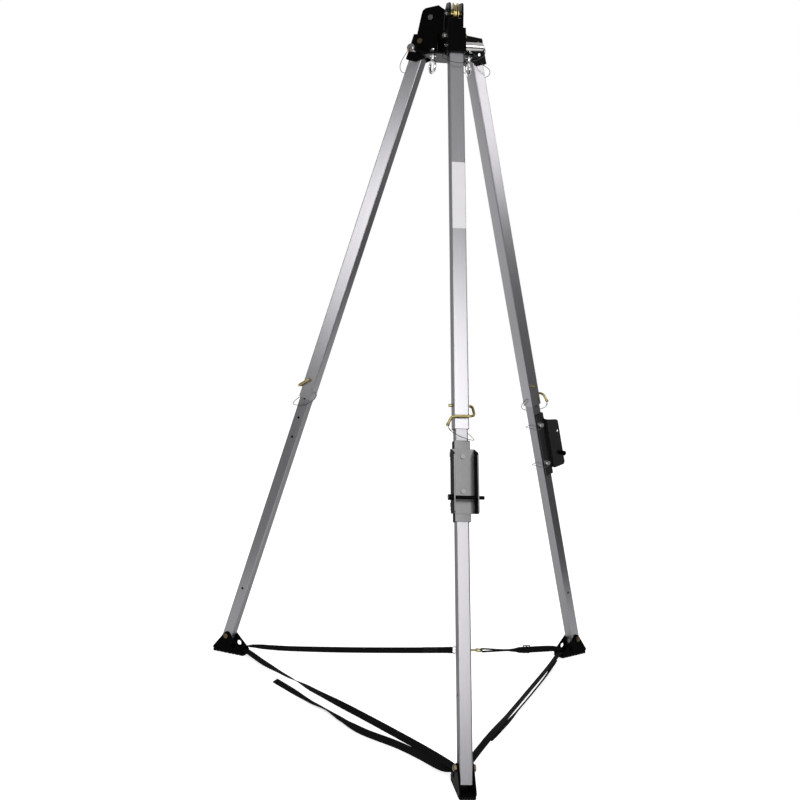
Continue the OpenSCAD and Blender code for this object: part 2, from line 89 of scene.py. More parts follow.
camera_turn = Matrix((side, upward, -forward)).transposed().to_4x4()
camera.matrix_world = Matrix.Translation(CAMERA_AT) @ camera_turn
scene.collection.objects.link(camera)
scene.camera = camera
scene.view_settings.view_transform = "Standard"

# Floor: a wide matt studio floor that the tripod stands on, not part of the object.
# It glows white where the camera, over EYE, sees it, is dim beside that, and is bright again far back on the
# left, for the tubes to mirror. An edge is where a fade starts and where it ends.
FLOOR_HALF, FLOOR_Z, FLOOR_ROUGH = 9.0, -0.0005, 0.9
EYE_X, EYE_Y = -0.773, -3.992
DIM_GREY, PALE_GREY, LEFT_SHARE = 0.12, 0.7, 0.6
LEAST_GLOW, SEEN_GLOW, FAR_LEFT_GLOW = 0.05, 0.55, 0.9
SEEN_LEFT, SEEN_RIGHT, SEEN_NEAR = (-0.3, -0.21), (0.62, 0.535), (-1.5, -0.85)
FAR_LEFT_SIDE, FAR_LEFT_NEAR, PALE_LEFT = (-0.2, -0.32), (0.8, 2.2), (0.1, -0.25)
CAP_SIDES = 8
stage_white = bpy.data.materials.new("stage_white")
stage_white.use_nodes = True
floor_nodes, floor_links = stage_white.node_tree.nodes, stage_white.node_tree.links
floor_skin = floor_nodes["Principled BSDF"]
floor_skin.inputs["Roughness"].default_value = FLOOR_ROUGH
floor_skin.inputs["Emission Color"].default_value = (1, 1, 1, 1)
floor_spot = floor_nodes.new("ShaderNodeTexCoord")
floor_parts = floor_nodes.new("ShaderNodeSeparateXYZ")
floor_links.new(floor_spot.outputs["Object"], floor_parts.inputs[0])
floor_x, floor_y = floor_parts.outputs["X"], floor_parts.outputs["Y"]


def floor_math(kind, first, second):
    """One sum on the floor's coordinates; numbers are set on the socket, sockets are linked."""
    step = floor_nodes.new("ShaderNodeMath")
    step.operation = kind
    for socket, value in zip(step.inputs, (first, second)):
        if isinstance(value, (int, float)):
            socket.default_value = value
        else:
            floor_links.new(value, socket)
    return step.outputs[0]


def floor_fade(value, edge):
    """Smooth step from 0 at the start of an edge to 1 at its end."""
    fade = floor_nodes.new("ShaderNodeMapRange")
    fade.interpolation_type = "SMOOTHSTEP"
    fade.inputs["From Min"].default_value = edge[0]
    fade.inputs["From Max"].default_value = edge[1]
    floor_links.new(value, fade.inputs["Value"])
    return fade.outputs["Result"]


def piece(name, points, faces, material, smooth=True):
    """A new mesh piece at the origin with one material; the edges of its many-sided caps stay sharp."""
    mesh = bpy.data.meshes.new(name)
    mesh.from_pydata([tuple(p) for p in points], [], faces)
    mesh.polygons.foreach_set("use_smooth", [smooth] * len(mesh.polygons))
    caps = {key for face in mesh.polygons if len(face.vertices) > CAP_SIDES for key in face.edge_keys}
    for edge in mesh.edges:
        edge.use_edge_sharp = edge.key in caps
    mesh.materials.append(material)
    made = bpy.data.objects.new(name, mesh)
    scene.collection.objects.link(made)
    return made


beside_eye = floor_math("SUBTRACT", floor_x, EYE_X)
ahead_of_eye = floor_math("SUBTRACT", floor_y, EYE_Y)
slant = floor_math("DIVIDE", beside_eye, ahead_of_eye)
seen = floor_math("MULTIPLY", floor_fade(slant, SEEN_LEFT), floor_fade(slant, SEEN_RIGHT))
seen = floor_math("MULTIPLY", seen, floor_fade(floor_y, SEEN_NEAR))
far_left = floor_math("MULTIPLY", floor_fade(slant, FAR_LEFT_SIDE), floor_fade(floor_y, FAR_LEFT_NEAR))
seen_glow = floor_math("MULTIPLY", seen, SEEN_GLOW)
far_left_glow = floor_math("MULTIPLY", far_left, FAR_LEFT_GLOW)
glow = floor_math("ADD", seen_glow, far_left_glow)
floor_links.new(floor_math("ADD", glow, LEAST_GLOW), floor_skin.inputs["Emission Strength"])
floor_grey = floor_nodes.new("ShaderNodeMix")
floor_grey.data_type = "RGBA"
floor_grey.inputs["A"].default_value = (DIM_GREY, DIM_GREY, DIM_GREY, 1)
floor_grey.inputs["B"].default_value = (PALE_GREY, PALE_GREY, PALE_GREY, 1)
pale_left = floor_math("MULTIPLY", floor_fade(slant, PALE_LEFT), LEFT_SHARE)
floor_links.new(floor_math("MAXIMUM", seen, pale_left), floor_grey.inputs["Factor"])
floor_links.new(floor_grey.outputs["Result"], floor_skin.inputs["Base Color"])
floor_corners = [(x * FLOOR_HALF, y * FLOOR_HALF, FLOOR_Z) for x, y in ((-1, -1), (1, -1), (1, 1), (-1, 1))]
floor = piece("floor", floor_corners, [(0, 1, 2, 3)], stage_white, False)
floor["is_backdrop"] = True

# World: the white room round the tripod, bright behind it and overhead, and dim in front.
# The metal pieces mirror it.
ROOM_DIM, WALL_LEVEL, CEILING_LEVEL = 0.28, 1.0, 0.85
WALL_WAY, WALL_EDGE, CEILING_EDGE = (-0.3, 0.954, 0), (0.1, 0.72), (0.35, 0.75)
world = bpy.data.worlds.new("studio")
scene.world = world
world.use_nodes = True
room_nodes, room_links = world.node_tree.nodes, world.node_tree.links
room_light = room_nodes["Background"]
room_light.inputs["Color"].default_value = (1, 1, 1, 1)
room_way = room_nodes.new("ShaderNodeTexCoord")
room_height = room_nodes.new("ShaderNodeSeparateXYZ")
to_wall = room_nodes.new("ShaderNodeVectorMath")
to_wall.operation = "DOT_PRODUCT"
to_wall.inputs[1].default_value = WALL_WAY
room_links.new(room_way.outputs["Generated"], to_wall.inputs[0])
room_links.new(room_way.outputs["Generated"], room_height.inputs[0])
brighter = room_nodes.new("ShaderNodeMath")
brighter.operation = "MAXIMUM"
for value, kind, edge, most, socket in (
        (room_height.outputs["Z"], "LINEAR", CEILING_EDGE, CEILING_LEVEL, brighter.inputs[0]),
        (to_wall.outputs["Value"], "SMOOTHSTEP", WALL_EDGE, WALL_LEVEL, brighter.inputs[1])):
    rising = room_nodes.new("ShaderNodeMapRange")
    rising.interpolation_type = kind
    rising.inputs["From Min"].default_value = edge[0]
    rising.inputs["From Max"].default_value = edge[1]
    rising.inputs["To Min"].default_value = ROOM_DIM
    rising.inputs["To Max"].default_value = most
    room_links.new(value, rising.inputs["Value"])
    room_links.new(rising.outputs["Result"], socket)
room_links.new(brighter.outputs[0], room_light.inputs["Strength"])

# Soft boxes: three studio lamps behind white cloth, a large one in front and a small one at each side.
# All are aimed at the middle of the tripod, and the front one is much the strongest.
AIMED_AT = Vector((0, 0.2, 1.25))
for name, place, wide, tall, power in (
        ("front_box", (-0.1, -4.3, 2.5), 2.4, 3.2, 127),
        ("left_box", (-3.4, -2.3, 1.85), 1.0, 1.4, 26),
        ("right_box", (4.0, -0.9, 2.9), 1.0, 1.4, 22)):
    light = bpy.data.lights.new(name, "AREA")
    light.shape = "RECTANGLE"
    light.size = wide
    light.size_y = tall
    light.energy = power
    lamp = bpy.data.objects.new(name, light)
    lamp_turn = (AIMED_AT - Vector(place)).to_track_quat("-Z", "Y").to_matrix().to_4x4()
    lamp.matrix_world = Matrix.Translation(place) @ lamp_turn
    scene.collection.objects.link(lamp)

# Head sheets: the head plate, three leg brackets and two pulley housings, bent from steel sheet and welded.
# They are painted satin black all over, and the cut edges of the sheet are slightly rounded.
node = frame["nodes"]
MM = 0.001
HEAD_SHEETS = ("head_plate", "bracket_front", "bracket_right", "bracket_left",
               "pulley_housing_front", "pulley_housing_left")
SHEET_EDGE, EDGE_STEPS, EDGE_ANGLE, WELD_GAP = 0.7, 2, 0.7, 0.02
PATCH_SCALE, PATCH_DETAIL, GRAIN_DEPTH = 38, 3, 0.4


def metal(name, dark, light, rough, spread, bump, grain, metallic=1.0, shine=0.5, rim=1.0):
    """A metal or paint with soft patches and a fine grain; a low rim makes it darker at a slant."""
    made = bpy.data.materials.new(name)
    made.use_nodes = True
    nodes, links = made.node_tree.nodes, made.node_tree.links
    skin = nodes["Principled BSDF"]
    skin.inputs["Metallic"].default_value = metallic
    skin.inputs["Specular IOR Level"].default_value = shine
    skin.inputs["Specular Tint"].default_value = (rim, rim, rim, 1)
    spot = nodes.new("ShaderNodeTexCoord")
    patch = nodes.new("ShaderNodeTexNoise")
    patch.inputs["Scale"].default_value = PATCH_SCALE
    patch.inputs["Detail"].default_value = PATCH_DETAIL
    fine = nodes.new("ShaderNodeTexNoise")
    fine.inputs["Scale"].default_value = grain
    mix = nodes.new("ShaderNodeMix")
    mix.data_type = "RGBA"
    mix.inputs["A"].default_value = (*dark, 1)
    mix.inputs["B"].default_value = (*light, 1)
    gloss = nodes.new("ShaderNodeMapRange")
    gloss.inputs["To Min"].default_value = rough - spread
    gloss.inputs["To Max"].default_value = rough + spread
    relief = nodes.new("ShaderNodeBump")
    relief.inputs["Strength"].default_value = bump
    relief.inputs["Distance"].default_value = GRAIN_DEPTH * MM
    links.new(spot.outputs["Object"], patch.inputs["Vector"])
    links.new(spot.outputs["Object"], fine.inputs["Vector"])
    links.new(patch.outputs["Fac"], mix.inputs["Factor"])
    links.new(mix.outputs["Result"], skin.inputs["Base Color"])
    links.new(patch.outputs["Fac"], gloss.inputs["Value"])
    links.new(gloss.outputs["Result"], skin.inputs["Roughness"])
    links.new(fine.outputs["Fac"], relief.inputs["Height"])
    links.new(relief.outputs["Normal"], skin.inputs["Normal"])
    return made


def dress(names, material):
    """Gives solids of the frame a material."""
    for name in names:
        if not node[name].material_slots:
            node[name].data.materials.append(material)
        for slot in node[name].material_slots:
            slot.material = material


def soften(names, width):
    """Rounds the cut edges of solids of the frame, and evens their shading."""
    for name in names:
        join = node[name].modifiers.new("join", "WELD")
        join.merge_threshold = WELD_GAP * MM
        edge = node[name].modifiers.new("edge", "BEVEL")
        edge.width = width * MM
        edge.segments = EDGE_STEPS
        edge.limit_method = "ANGLE"
        edge.angle_limit = EDGE_ANGLE
        even = node[name].modifiers.new("even", "WEIGHTED_NORMAL")
        even.keep_sharp = False


black_paint = metal("black_paint", dark=(0.0007, 0.0006, 0.0006), light=(0.0016, 0.0014, 0.0014),
                    rough=0.34, spread=0.06, bump=0.2, grain=900, metallic=0.0, shine=0.03)
dress(HEAD_SHEETS, black_paint)
soften(HEAD_SHEETS, SHEET_EDGE)

# Inner plate edges: the cheeks of the pulley housings run on to a plumb edge, the bracket sides to a lip.
# They are the same painted sheet as the solids that they continue, one plate on each side of a leg.
joint = {row["name"]: row for row in frame["joints"]}
LEGS = ("front", "right", "left")
HOUSED_LEGS = ("front", "left")
PIVOT_R, BRACKET_IN, LIP_IN = 104.4, 45, 36
SIDE_IN, SIDE_OUT, CHEEK_T, PLATE_TOP = 26.2, 33.2, 6, -53
CHEEK_EDGE = ((-50, -135), (-84, -24), (-50, -24))


def on_leg(leg, n, t, s):
    """World point n outward, t sideways and s down the leg from its pivot bolt, in mm."""
    across = Vector(joint["fold_" + leg]["axis"])
    down = Vector(joint["extend_" + leg]["axis"])
    return Vector(joint["fold_" + leg]["pos_m"]) + (down.cross(across) * n + across * t + down * s) * MM


def plate_faces(count):
    """Faces of a flat plate between two outlines of count points each."""
    ends = [tuple(range(count)), tuple(range(2 * count - 1, count - 1, -1))]
    return ends + [(k, count + k, count + (k + 1) % count, (k + 1) % count) for k in range(count)]


lean = math.acos(-Vector(joint["extend_front"]["axis"]).z)
bracket_top = (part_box("bracket_front")[1][2] - joint["fold_front"]["pos_m"][2]) / MM
lip_edge = []
for r, h in ((LIP_IN, PLATE_TOP), (BRACKET_IN, PLATE_TOP), (BRACKET_IN, bracket_top), (LIP_IN, bracket_top)):
    out = r - PIVOT_R
    lip_edge.append((out * math.cos(lean) + h * math.sin(lean), out * math.sin(lean) - h * math.cos(lean)))
for kind, edge, inner, outer, legs in (
        ("cheek_edge_", CHEEK_EDGE, SIDE_IN - CHEEK_T, SIDE_IN, HOUSED_LEGS),
        ("bracket_lip_", lip_edge, SIDE_IN, SIDE_OUT, LEGS)):
    for leg in legs:
        for hand, way in (("a", 1), ("b", -1)):
            points = [on_leg(leg, n, t * way, s) for t in (inner, outer) for n, s in edge]
            faces = [face[::way] for face in plate_faces(len(edge))]
            plate = piece(kind + leg + "_" + hand, points, faces, black_paint, False)
            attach(plate, "head")

# Head bolts: hexagon pivot bolts of the legs, axle bolts of the pulleys, their nuts, and two anchor eyes.
# The pivot bolts are zinc plated and brownish, the axles and nuts are dull steel, and the eyes bright steel.
RIM_EDGE = 0.5
bright_steel = metal("bright_steel", dark=(0.62, 0.62, 0.63), light=(0.72, 0.72, 0.72),
                     rough=0.26, spread=0.07, bump=0.05, grain=500)
dull_steel = metal("dull_steel", dark=(0.09, 0.09, 0.09), light=(0.14, 0.14, 0.14),
                   rough=0.3, spread=0.07, bump=0.05, grain=500)
brown_zinc = metal("brown_zinc", dark=(0.06, 0.044, 0.028), light=(0.1, 0.075, 0.045),
                   rough=0.3, spread=0.07, bump=0.06, grain=700)
dress(["eye_bolts"], bright_steel)
dress(["head_nuts", "pulley_axles"], dull_steel)
dress(["pivot_bolts"], brown_zinc)
soften(["pivot_bolts", "pulley_axles", "head_nuts"], RIM_EDGE)

# Pulleys: two turned steel sheaves with a rope groove, plated yellow and free on their axles.
# Their solids already have the groove, so they only take the finish.
yellow_zinc = metal("yellow_zinc", dark=(0.25, 0.205, 0.088), light=(0.34, 0.28, 0.12),
                    rough=0.22, spread=0.07, bump=0.06, grain=700)
dress(["sheave_front", "sheave_left"], yellow_zinc)

# Leg tubes: square drawn aluminium, the lower tube sliding in the upper one.
# The finish is satin, with the streaks of the die running down each leg; the lower tubes are anodised darker.
UPPER_TONE, LOWER_TONE, TUBE_ROUGH, TUBE_SPREAD, TUBE_RIM = 0.29, 0.22, 0.30, 0.07, 0.4
STREAK_ACROSS, STREAK_ALONG, STREAK_DETAIL = 900, 3, 4
STREAK_BUMP, STREAK_DEPTH = 0.06, 0.3
DARK_STREAK, LIGHT_STREAK = (0.9, 0.885, 0.94), (1.1, 1.085, 1.13)


def drawn_tube(name, leg, tone):
    """Satin metal whose streaks follow one leg."""
    made = bpy.data.materials.new(name)
    made.use_nodes = True
    nodes, links = made.node_tree.nodes, made.node_tree.links
    skin = nodes["Principled BSDF"]
    skin.inputs["Metallic"].default_value = 1.0
    skin.inputs["Specular Tint"].default_value = (TUBE_RIM, TUBE_RIM, TUBE_RIM, 1)
    spot = nodes.new("ShaderNodeTexCoord")
    down = Vector(joint["extend_" + leg]["axis"])
    across = Vector(joint["fold_" + leg]["axis"])
    gather = nodes.new("ShaderNodeCombineXYZ")
    for axis, way, fine in (("X", across, STREAK_ACROSS), ("Y", down.cross(across), STREAK_ACROSS),
                            ("Z", down, STREAK_ALONG)):
        dot = nodes.new("ShaderNodeVectorMath")
        dot.operation = "DOT_PRODUCT"
        dot.inputs[1].default_value = way * fine
        links.new(spot.outputs["Object"], dot.inputs[0])
        links.new(dot.outputs["Value"], gather.inputs[axis])
    streak = nodes.new("ShaderNodeTexNoise")
    streak.inputs["Scale"].default_value = 1.0
    streak.inputs["Detail"].default_value = STREAK_DETAIL
    links.new(gather.outputs[0], streak.inputs["Vector"])
    gloss = nodes.new("ShaderNodeMapRange")
    gloss.inputs["To Min"].default_value = TUBE_ROUGH - TUBE_SPREAD
    gloss.inputs["To Max"].default_value = TUBE_ROUGH + TUBE_SPREAD
    mix = nodes.new("ShaderNodeMix")
    mix.data_type = "RGBA"
    mix.inputs["A"].default_value = (*(tone * share for share in DARK_STREAK), 1)
    mix.inputs["B"].default_value = (*(tone * share for share in LIGHT_STREAK), 1)
    relief = nodes.new("ShaderNodeBump")
    relief.inputs["Strength"].default_value = STREAK_BUMP
    relief.inputs["Distance"].default_value = STREAK_DEPTH * MM
    links.new(streak.outputs["Fac"], gloss.inputs["Value"])
    links.new(gloss.outputs["Result"], skin.inputs["Roughness"])
    links.new(streak.outputs["Fac"], mix.inputs["Factor"])
    links.new(mix.outputs["Result"], skin.inputs["Base Color"])
    links.new(streak.outputs["Fac"], relief.inputs["Height"])
    links.new(relief.outputs["Normal"], skin.inputs["Normal"])
    return made


for leg in LEGS:
    dress(["upper_tube_" + leg], drawn_tube("brushed_tube_" + leg, leg, UPPER_TONE))
    dress(["lower_tube_" + leg], drawn_tube("anodised_tube_" + leg, leg, LOWER_TONE))

# Label plate: a thin bare white plate with round corners.
# It is stuck on the outer face of the front upper tube.
LABEL_TOP, LABEL_END, LABEL_HALF, LABEL_CORNER = 503, 748, 23.2, 2.5
LABEL_BACK, LABEL_FACE = 25.42, 25.8
CORNER_STEPS = 5
label_paint = metal("label_paint", dark=(0.58, 0.57, 0.585), light=(0.62, 0.61, 0.62),
                    rough=0.45, spread=0.04, bump=0.0, grain=400, metallic=0.0)
label_outline = []
for corner, (t, s) in enumerate(((LABEL_HALF, LABEL_TOP), (LABEL_HALF, LABEL_END), (-LABEL_HALF, LABEL_END),
                                 (-LABEL_HALF, LABEL_TOP))):
    t_in = t - math.copysign(LABEL_CORNER, t)
    s_in = s + (LABEL_CORNER if s == LABEL_TOP else -LABEL_CORNER)
    for k in range(CORNER_STEPS + 1):
        turned = math.radians(-90 + corner * 90 + k * 90 / CORNER_STEPS)
        label_outline.append((t_in + LABEL_CORNER * math.cos(turned), s_in + LABEL_CORNER * math.sin(turned)))
points = [on_leg("front", n, t, s) for n in (LABEL_BACK, LABEL_FACE) for t, s in label_outline]
label = piece("label_plate", points, plate_faces(len(label_outline)), label_paint, False)
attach(label, "upper_front")

# Lock pins and lanyards: a lock pin has a turned chrome handle, and wire ropes keep the lock and leg pins.
# A rope is twisted from six strands and has a crimped copper sleeve at the pin and at the part that holds it.
WIRE, STRANDS, ROPE_SIDES, ROPE_LAY, ROPE_STEP = 2.5, 6, 18, 0.016, 0.002
STRAND_DIP = 0.14
SLEEVE_R, SLEEVE_SIDES, SLEEVE_ROWS = 2.1, 16, 6
SLEEVE_FROM, SLEEVE_TO = 4, 10
PIN_AT = 1365.5
LOCK_ROUTE = ((0, 106.75, 38), (3, 109.75, 52), (14, 102.75, 78), (30, 76, 104), (39, 40, 121), (41, 0, 127),
              (38, -36, 118), (24, -53, 99), (9, -46, 81), (4, -34.75, 68))
PIN_ROUTE = ((36, -49, 76.6), (40, -42, 90), (47, -20, 106), (44, 14, 118), (24, 40, 118), (-12, 42, 104),
             (-36, 26, 80), (-38, 6, 58), (-26.95, 0, 48))


def through(points, step):
    """Centripetal curve through points as (point, place on the route), step metres apart."""
    ends = [points[0] * 2 - points[1]] + points + [points[-1] * 2 - points[-2]]
    way = []
    for i in range(1, len(ends) - 2):
        p0, p1, p2, p3 = ends[i - 1:i + 3]
        t1 = (p1 - p0).length ** 0.5
        t2 = t1 + (p2 - p1).length ** 0.5
        t3 = t2 + (p3 - p2).length ** 0.5
        count = max(2, math.ceil((p2 - p1).length / step))
        for k in range(count):
            t = t1 + (t2 - t1) * k / count
            a1 = p0.lerp(p1, t / t1)
            a2 = p1.lerp(p2, (t - t1) / (t2 - t1))
            a3 = p2.lerp(p3, (t - t2) / (t3 - t2))
            b1 = a1.lerp(a2, t / t2)
            b2 = a2.lerp(a3, (t - t1) / (t3 - t1))
            way.append((b1.lerp(b2, (t - t1) / (t2 - t1)), i - 1 + k / count))
    way.append((points[-1], len(points) - 1))
    return way


def tube(name, path, radius, material, sides, strands=0):
    """A round tube along a path; with strands, its skin is twisted like wire rope."""
    points, faces, run = [], [], 0.0
    tangent = (path[1] - path[0]).normalized()
    axis = tangent.orthogonal().normalized()
    for i, centre in enumerate(path):
        ahead = path[min(i + 1, len(path) - 1)] - path[max(i - 1, 0)]
        swing = tangent.rotation_difference(ahead.normalized())
        tangent = ahead.normalized()
        axis = (swing @ axis).normalized()
        other = tangent.cross(axis)
        run += (centre - path[i - 1]).length if i else 0.0
        for k in range(sides):
            angle = 2 * math.pi * k / sides
            reach = radius
            if strands:
                twist = strands / 2 * (angle + 2 * math.pi * run / ROPE_LAY)
                reach *= 1 - STRAND_DIP + STRAND_DIP * abs(math.cos(twist))
            points.append(centre + (axis * math.cos(angle) + other * math.sin(angle)) * reach)
        if i:
            low = (i - 1) * sides
            faces += [(low + k, low + (k + 1) % sides, low + sides + (k + 1) % sides, low + sides + k)
                      for k in range(sides)]
    faces.append(tuple(range(sides - 1, -1, -1)))
    faces.append(tuple(range(len(points) - sides, len(points))))
    return piece(name, points, faces, material)


chrome = metal("chrome", dark=(0.4, 0.39, 0.38), light=(0.48, 0.47, 0.46),
               rough=0.14, spread=0.04, bump=0.02, grain=500)
wire_steel = metal("wire_steel", dark=(0.035, 0.035, 0.035), light=(0.06, 0.06, 0.06),
                   rough=0.36, spread=0.06, bump=0.0, grain=600)
copper = metal("copper_sleeve", dark=(0.16, 0.085, 0.05), light=(0.22, 0.12, 0.07),
               rough=0.34, spread=0.06, bump=0.05, grain=600)
for leg in LEGS:
    dress(["lock_pin_" + leg], chrome)
    soften(["lock_pin_" + leg], RIM_EDGE)
    for kind, route, at, carrier, holder in (
            ("lock_lanyard_", LOCK_ROUTE, 0, "lock_pin_" + leg, "head"),
            ("pin_lanyard_", PIN_ROUTE, PIN_AT, "leg_pin_" + leg, "upper_" + leg)):
        corners = [on_leg(leg, n, t, at + s) for n, t, s in route]
        path = [p for p, _ in through(corners, ROPE_STEP)]
        lanyard = tube(kind + leg + "_rope", path, WIRE / 2 * MM, wire_steel, ROPE_SIDES, STRANDS)
        for end, run, body in (("pin", path[SLEEVE_FROM:SLEEVE_TO], carrier),
                               ("held", path[-SLEEVE_TO:-SLEEVE_FROM], holder)):
            sleeve_path = [run[0].lerp(run[-1], k / SLEEVE_ROWS) for k in range(SLEEVE_ROWS + 1)]
            sleeve = tube(kind + leg + "_sleeve_" + end, sleeve_path, SLEEVE_R * MM, copper, SLEEVE_SIDES)
            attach(sleeve, body)
        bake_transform(lanyard)
        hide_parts(kind + leg)

# Leg pins: one steel rod each, bent round to a handle and plated yellow, with a ball grip at its end.
# The straight end goes through both tubes of a leg and holds the lower one at a hole.
PIN_BEND, BEND_SHARE, BEND_STEPS = 15, 0.45, 10
PIN_R, PIN_SIDES, GRIP_R, GRIP_SIDES, GRIP_RINGS = 4.9, 24, 6.6, 24, 14
PIN_CORNERS = ((0, -39.4, 0), (0, 41.4, 0), (35.4, 41.4, 40), (35.4, -36.4, 42), (36.4, -49.4, 70))
for leg in LEGS:
    corners = [on_leg(leg, n, t, PIN_AT + s) for n, t, s in PIN_CORNERS]
    path = [corners[0]]
    for before, corner, after in zip(corners, corners[1:], corners[2:]):
        shorter = min((before - corner).length, (after - corner).length)
        reach = min(PIN_BEND * MM, shorter * BEND_SHARE)
        start = corner + (before - corner).normalized() * reach
        end = corner + (after - corner).normalized() * reach
        for k in range(BEND_STEPS + 1):
            share = k / BEND_STEPS
            path.append(start.lerp(corner, share).lerp(corner.lerp(end, share), share))
    path.append(corners[-1])
    rod = tube("leg_pin_rod_" + leg, path, PIN_R * MM, yellow_zinc, PIN_SIDES)
    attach(rod, "leg_pin_" + leg)
    bpy.ops.mesh.primitive_uv_sphere_add(segments=GRIP_SIDES, ring_count=GRIP_RINGS, radius=GRIP_R * MM)
    grip = bpy.context.object
    grip.name = "leg_pin_grip_" + leg
    grip.data.transform(Matrix.Translation(corners[-1]))
    grip.data.polygons.foreach_set("use_smooth", [True] * len(grip.data.polygons))
    grip.data.materials.append(yellow_zinc)
    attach(grip, "leg_pin_" + leg)
    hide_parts("leg_pin_" + leg)

# Winch saddles: a channel round the lower tube and a wider cradle screwed to it, bent from dark coated sheet.
# Two bright pins with spring wire keepers hold each saddle to its tube, and a black bar crosses each cradle.
SADDLED_LEGS = ("front", "right")
KEEPER_AT = (1530.5, 1695.5)
KEEPER_STEP, KEEPER_SIDES = 0.003, 14
KEEPER_ROUTE = ((0, -32.4, 10.05), (-16, -33.4, 13.05), (-32, -26.4, 8), (-36, 0, 5), (-32, 26.4, 6),
                (-12, 32.4, 8.55), (4, 31.4, 6.55))
saddle_paint = metal("saddle_paint", dark=(0.075, 0.075, 0.075), light=(0.09, 0.09, 0.09),
                     rough=0.25, spread=0.015, bump=0.04, grain=900, rim=0.22)
for leg in SADDLED_LEGS:
    dress(["saddle_" + leg, "cradle_" + leg], saddle_paint)
    soften(["saddle_" + leg, "cradle_" + leg], SHEET_EDGE)
    dress(["saddle_pin_" + leg + "_upper", "saddle_pin_" + leg + "_lower"], bright_steel)
    dress(["cradle_bolts_" + leg], dull_steel)
    dress(["keeper_bar_" + leg], black_paint)
    soften(["cradle_bolts_" + leg, "keeper_bar_" + leg], RIM_EDGE)
    for k, at in enumerate(KEEPER_AT):
        corners = [on_leg(leg, n, t, at + s) for n, t, s in KEEPER_ROUTE]
        path = [p for p, _ in through(corners, KEEPER_STEP)]
        keeper = tube("keeper_spring_" + leg + "_" + str(k), path, WIRE / 2 * MM, dull_steel, KEEPER_SIDES)
        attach(keeper, "lower_" + leg)
        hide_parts("pin_keepers_" + leg)

# Feet: bent steel shoes in dull black paint that tilt on a zinc plated bolt through the lower tube.
# Each has a moulded rubber sole under it.
foot_paint = metal("foot_paint", dark=(0.0012, 0.0011, 0.0011), light=(0.0026, 0.0025, 0.0025),
                   rough=0.42, spread=0.06, bump=0.25, grain=900, metallic=0.0, shine=0.005)
sole_rubber = metal("sole_rubber", dark=(0.0025, 0.0024, 0.0024), light=(0.005, 0.0048, 0.0048),
                    rough=0.8, spread=0.06, bump=0.6, grain=1400, metallic=0.0, shine=0.02)
for leg in LEGS:
    dress(["foot_" + leg], foot_paint)
    soften(["foot_" + leg], SHEET_EDGE)
    dress(["foot_bolt_" + leg], brown_zinc)
    soften(["foot_bolt_" + leg], RIM_EDGE)
    dress(["foot_pad_" + leg], sole_rubber)

# Strap: flat black webbing, woven with a thicker edge, that turns round a cross rod in each foot.
# It lies on the routes of the solids, and is cut where it changes the body that it follows. In plan, a point
# is given from the axis of the tripod, which lies AXIS_Y behind the origin.
WIDTH, WEB_STEP = 25.0, 0.012
AXIS_Y, ROD_R, BACK_Y, STRAP_Z = 215.074, 773.207, 374.6, 26.0
FOOT_ANGLE = {"front": -90, "right": 30, "left": 150}
RIB_SCALE, WEFT_SCALE, WEAVE_BUMP, WEAVE_DEPTH = 190, 260, 0.6, 0.4
WEB_DARK, WEB_LIGHT = (0.0012, 0.0011, 0.0012, 1), (0.006, 0.0055, 0.0056, 1)
WEB_ROUGH, WEB_SHINE = 0.85, 0.06
SECTION = ((-12.5, 0), (-12.25, 0.75), (-11.4, 1.0), (-10.4, 0.86), (0, 0.84), (10.4, 0.86), (11.4, 1.0),
           (12.25, 0.75), (12.5, 0), (12.25, -0.75), (11.4, -1.0), (10.4, -0.86), (0, -0.84), (-10.4, -0.86),
           (-11.4, -1.0), (-12.25, -0.75))
ROD_TURN = ((-34.6, 20, 6, 28, 1.1), (-8, 5, 5.4, 15, 0.4), (0, 1.5, 5.4, 0, 0), (3.8, 1, 3.8, 0, 0),
            (5.4, 0, 0, 0, 0), (3.8, -1, -3.8, 0, 0), (0, -1.5, -5.4, 0, 0), (-8, -5, -5.4, -15, -0.1),
            (-34.6, -20, -6, -28, -0.3))
webbing = bpy.data.materials.new("webbing")
webbing.use_nodes = True
web_nodes, web_links = webbing.node_tree.nodes, webbing.node_tree.links
web_skin = web_nodes["Principled BSDF"]
web_skin.inputs["Roughness"].default_value = WEB_ROUGH
web_skin.inputs["Specular IOR Level"].default_value = WEB_SHINE
web_spot = web_nodes.new("ShaderNodeTexCoord")
weave = web_nodes.new("ShaderNodeMath")
weave.operation = "MULTIPLY"
for socket, way, scale in ((0, "X", RIB_SCALE), (1, "Y", WEFT_SCALE)):
    threads = web_nodes.new("ShaderNodeTexWave")
    threads.bands_direction = way
    threads.inputs["Scale"].default_value = scale
    web_links.new(web_spot.outputs["UV"], threads.inputs["Vector"])
    web_links.new(threads.outputs["Fac"], weave.inputs[socket])
web_tint = web_nodes.new("ShaderNodeMix")
web_tint.data_type = "RGBA"
web_tint.inputs["A"].default_value = WEB_DARK
web_tint.inputs["B"].default_value = WEB_LIGHT
web_relief = web_nodes.new("ShaderNodeBump")
web_relief.inputs["Strength"].default_value = WEAVE_BUMP
web_relief.inputs["Distance"].default_value = WEAVE_DEPTH * MM
web_links.new(weave.outputs[0], web_tint.inputs["Factor"])
web_links.new(weave.outputs[0], web_relief.inputs["Height"])
web_links.new(web_tint.outputs["Result"], web_skin.inputs["Base Color"])
web_links.new(web_relief.outputs["Normal"], web_skin.inputs["Normal"])


def to_foot(leg):
    """Level directions from the axis towards a foot, and to the left of that."""
    turned = math.radians(FOOT_ANGLE[leg])
    out = Vector((math.cos(turned), math.sin(turned), 0))
    return out, Vector((-out.y, out.x, 0))


def plan(leg, r, t, z):
    """World point r from the axis towards a foot, t sideways and z up, in mm."""
    out, beside = to_foot(leg)
    return (out * r + beside * t + Vector((0, AXIS_Y, z))) * MM


